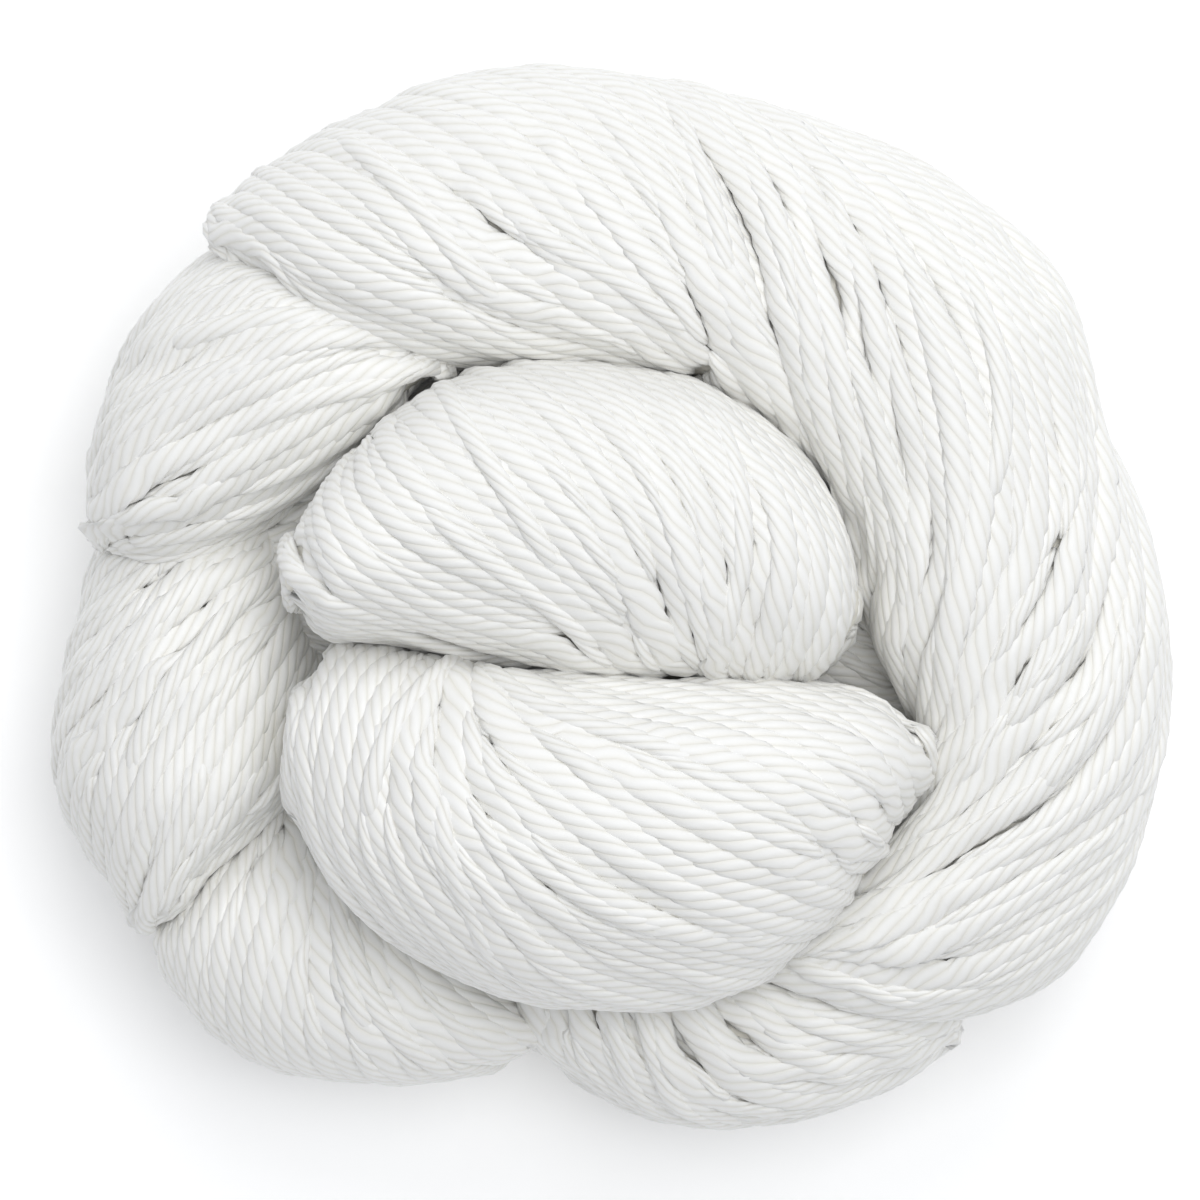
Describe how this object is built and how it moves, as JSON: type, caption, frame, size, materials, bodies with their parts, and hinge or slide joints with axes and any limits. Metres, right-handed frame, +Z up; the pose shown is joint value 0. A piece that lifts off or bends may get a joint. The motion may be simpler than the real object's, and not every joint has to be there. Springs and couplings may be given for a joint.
{
  "type": "skein of cotton yarn",
  "caption": "Twisted skein of undyed white cotton yarn, curled into a thick round coil of plump, overlapping bundles, lying flat with its coiled face up.",
  "frame": {"origin": "centre of the skein's outline on the surface it rests on", "axes": "+Z up out of the coiled face, +X to the right and +Y away as the coiled face is seen from above"},
  "size_m": [0.1118, 0.1058, 0.0558],
  "materials": {
    "cotton_yarn": "bleached combed cotton, fine plies twisted to the left, soft with a slight silky lustre on the plies and warm shadows between the strands"
  },
  "bodies": {
    "root": {"skein": "cotton_yarn"}
  },
  "joints": []
}
